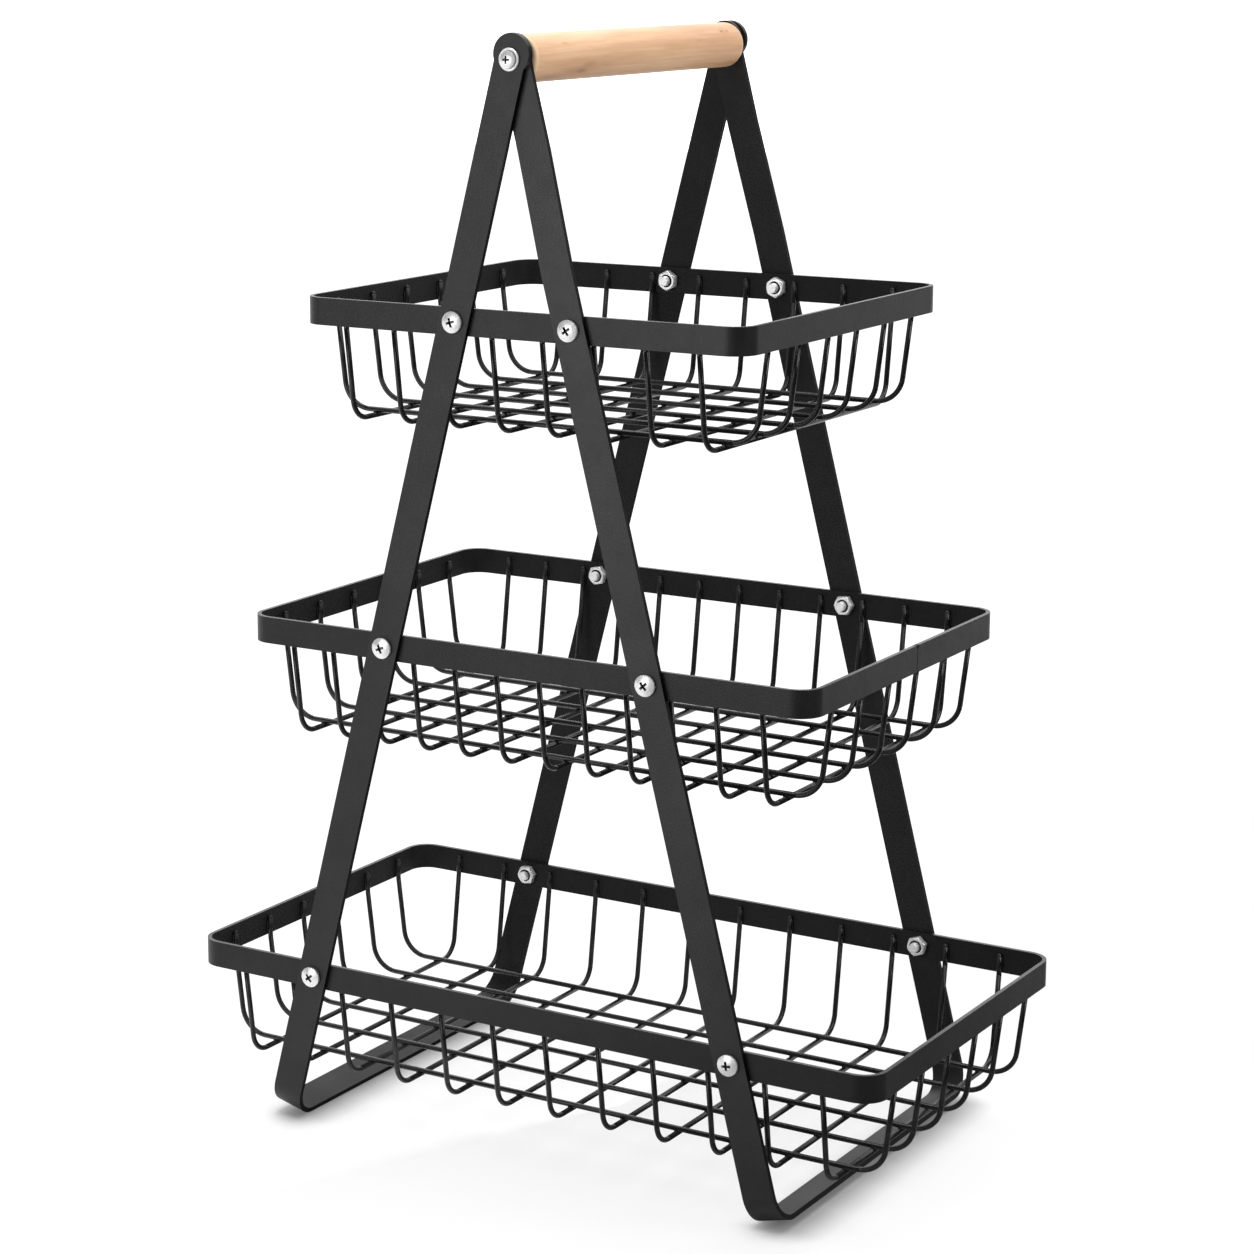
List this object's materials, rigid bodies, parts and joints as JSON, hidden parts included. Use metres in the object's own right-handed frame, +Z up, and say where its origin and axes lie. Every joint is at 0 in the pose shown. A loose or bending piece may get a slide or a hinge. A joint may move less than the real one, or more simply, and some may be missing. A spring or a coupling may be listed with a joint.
{
  "type": "tiered kitchen basket rack",
  "caption": "Countertop A-frame rack: wire baskets of growing size bolted between two bent flat-bar frames that meet under a turned wooden carrying handle.",
  "frame": {"origin": "on the worktop, under the middle of the handle", "axes": "+Z up, +X along the baskets' length, -Y the front with the visible screw heads"},
  "size_m": [0.376, 0.2142, 0.5386],
  "materials": {
    "frame_paint": "matte black powder coat",
    "rim_paint": "matte black powder coat",
    "wire_paint": "satin black coating",
    "handle_wood": "light beech, fine sanded",
    "bright_screws": "bright plated steel",
    "bright_nuts": "bright plated steel"
  },
  "bodies": {
    "rack": {"left_frame": "frame_paint", "right_frame": "frame_paint", "top_rim": "rim_paint", "top_long_wires": "wire_paint", "top_cross_wires": "wire_paint", "top_screws": "bright_screws", "top_nuts": "bright_nuts", "middle_rim": "rim_paint", "middle_long_wires": "wire_paint", "middle_cross_wires": "wire_paint", "middle_screws": "bright_screws", "middle_nuts": "bright_nuts", "bottom_rim": "rim_paint", "bottom_long_wires": "wire_paint", "bottom_cross_wires": "wire_paint", "bottom_screws": "bright_screws", "bottom_nuts": "bright_nuts"},
    "handle": {"handle": "handle_wood", "handle_screw_front": "bright_screws", "handle_screw_back": "bright_screws"}
  },
  "joints": [
    {"name": "handle_turn", "type": "hinge", "parent": "rack", "child": "handle", "pos_m": [0, 0, 0.52529], "axis": [0, 1, 0], "continuous": true}
  ]
}
